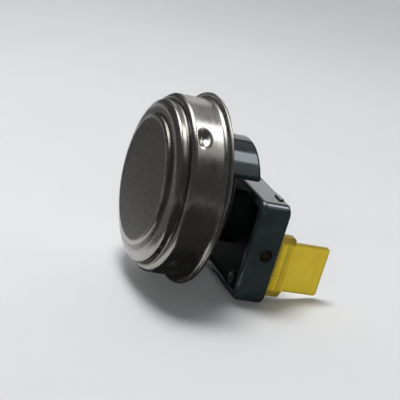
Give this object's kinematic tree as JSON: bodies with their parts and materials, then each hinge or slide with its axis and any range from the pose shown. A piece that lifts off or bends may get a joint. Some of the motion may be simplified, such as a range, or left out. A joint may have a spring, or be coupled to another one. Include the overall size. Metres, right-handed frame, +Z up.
{
  "type": "bimetal thermostat",
  "caption": "Bimetal thermostat with a stepped steel sensing cap and flange, a black moulded switch body, and a rear terminal housing with a yellow tongue.",
  "frame": {"origin": "on the cap's axis, in the plane of the flange's seat", "axes": "+Y along the cap's axis from the sensing face to the terminals, +Z up, the tongue on the +X side"},
  "size_m": [0.036, 0.0359, 0.036],
  "materials": {
    "stainless_cap": "drawn stainless sheet, blasted centre, polished steps",
    "bimetal": "rolled bimetal strip",
    "plated_steel": "zinc plated",
    "phenolic_plate": "pressed phenolic sheet",
    "ceramic": "fired, unglazed",
    "seal_rubber": "moulded silicone rubber",
    "black_phenolic": "moulded black phenolic, glossy",
    "contact_spring": "rolled spring bronze",
    "contact_silver": "silver contact rivet",
    "terminal_brass": "stamped brass, dull",
    "rivet_steel": "bright zinc",
    "brown_plug": "brown phenolic",
    "yellow_moulding": "moulded yellow plastic, satin"
  },
  "bodies": {
    "case": {"sensing_cap": "stainless_cap", "disc_retainer": "plated_steel", "guide_plate": "phenolic_plate", "seal_ring": "seal_rubber", "switch_body": "black_phenolic", "fixed_contact": "contact_silver", "arm_rivet": "terminal_brass", "common_terminal": "terminal_brass", "contact_terminal": "terminal_brass", "terminal_housing": "black_phenolic", "housing_rivets": "rivet_steel", "housing_eyelets": "rivet_steel", "side_pin": "brown_plug", "insulating_tongue": "yellow_moulding"},
    "disc": {"bimetal_disc": "bimetal"},
    "pin": {"transfer_pin": "ceramic"},
    "arm": {"contact_arm": "contact_spring", "moving_contact": "contact_silver"}
  },
  "joints": [
    {"name": "disc_snap", "type": "slide", "parent": "case", "child": "disc", "axis": [0, 1, 0], "range_m": [0, 0.0006], "stiffness_N_per_m": 100},
    {"name": "pin_slide", "type": "slide", "parent": "case", "child": "pin", "axis": [0, 1, 0], "range_m": [0, 0.0006]},
    {"name": "arm_bend", "type": "hinge", "parent": "case", "child": "arm", "pos_m": [-0.005, -0.00115, 0], "axis": [0, 0, 1], "range_deg": [0, 7]}
  ],
  "couplings": [
    {"joint": "pin_slide", "follows": "disc_snap", "ratio": 1},
    {"joint": "arm_bend", "follows": "disc_snap", "rad_per_m": 200}
  ]
}
